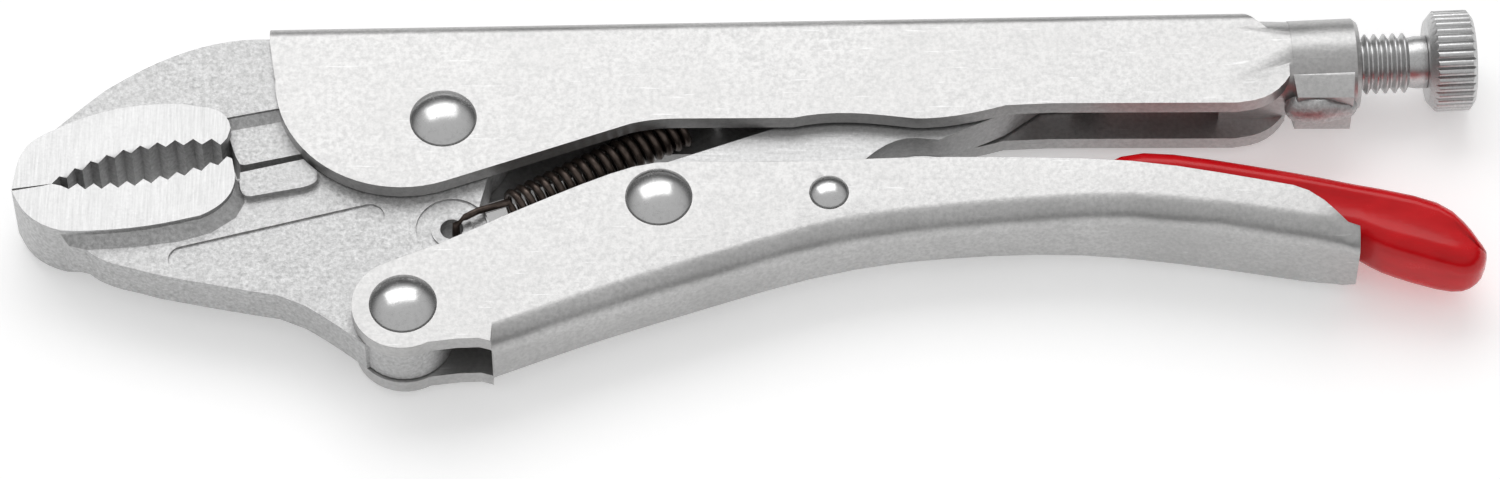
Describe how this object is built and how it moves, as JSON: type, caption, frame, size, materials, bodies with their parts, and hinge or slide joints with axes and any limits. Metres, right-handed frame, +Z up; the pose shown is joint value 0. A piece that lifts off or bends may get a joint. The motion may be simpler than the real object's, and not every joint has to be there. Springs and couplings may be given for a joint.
{
  "type": "locking pliers",
  "caption": "Hand pliers that lock shut through a toggle linkage, with toothed jaws, a screw for the jaw gap and a red quick-release lever.",
  "frame": {"origin": "middle of the tool's outline, on the surface it lies on when laid flat on its side", "axes": "+X from the jaws to the rear along the tool, +Y from the lower handle to the upper handle, +Z up through the thickness"},
  "size_m": [0.1928, 0.0548, 0.0144],
  "materials": {
    "handle_steel": "satin plated sheet steel",
    "jaw_steel": "forged and plated steel, ground on the gripping pads",
    "rivet_steel": "polished",
    "screw_steel": "turned and plated",
    "lever_steel": "satin plated",
    "spring_steel": "dark oiled spring wire",
    "red_dip": "glossy dipped coating"
  },
  "bodies": {
    "frame": {"upper_handle": "handle_steel", "collar_weld": "jaw_steel", "fixed_jaw": "jaw_steel", "jaw_rivet": "rivet_steel", "tension_spring": "spring_steel"},
    "jaw": {"movable_jaw": "jaw_steel"},
    "handle": {"lower_handle": "handle_steel", "handle_rivet": "rivet_steel", "link_rivet": "rivet_steel", "lever_rivet": "rivet_steel"},
    "link": {"toggle_link": "lever_steel"},
    "lever": {"release_lever": "lever_steel", "lever_sleeve": "red_dip"},
    "screw": {"adjusting_screw": "screw_steel"},
    "knob": {"adjusting_knob": "screw_steel"}
  },
  "joints": [
    {"name": "jaw_hinge", "type": "hinge", "parent": "frame", "child": "jaw", "pos_m": [-0.0402, 0.0079, 0.0072], "axis": [0, 0, 1], "range_deg": [0, 16], "deforming": ["tension_spring"]},
    {"name": "handle_hinge", "type": "hinge", "parent": "jaw", "child": "handle", "pos_m": [-0.0447, -0.0206, 0.0072], "axis": [0, 0, 1], "range_deg": [-50, 0]},
    {"name": "link_hinge", "type": "hinge", "parent": "handle", "child": "link", "pos_m": [-0.0118, -0.0043, 0.0072], "axis": [0, 0, 1], "range_deg": [0, 57]},
    {"name": "lever_hinge", "type": "hinge", "parent": "handle", "child": "lever", "pos_m": [0.0104, -0.0036, 0.0072], "axis": [0, 0, 1], "range_deg": [0, 5]},
    {"name": "screw_slide", "type": "slide", "parent": "frame", "child": "screw", "axis": [0.9986, 0.0523, 0], "range_m": [0, 0.00625]},
    {"name": "knob_turn", "type": "hinge", "parent": "screw", "child": "knob", "pos_m": [0.0808, 0.02, 0.0072], "axis": [0.9986, 0.0523, 0], "range_deg": [0, 1800]}
  ],
  "couplings": [
    {"joint": "handle_hinge", "follows": "jaw_hinge", "ratio": -3.1},
    {"joint": "link_hinge", "follows": "jaw_hinge", "ratio": 3.55},
    {"joint": "knob_turn", "follows": "screw_slide", "rad_per_m": 5026.5}
  ]
}
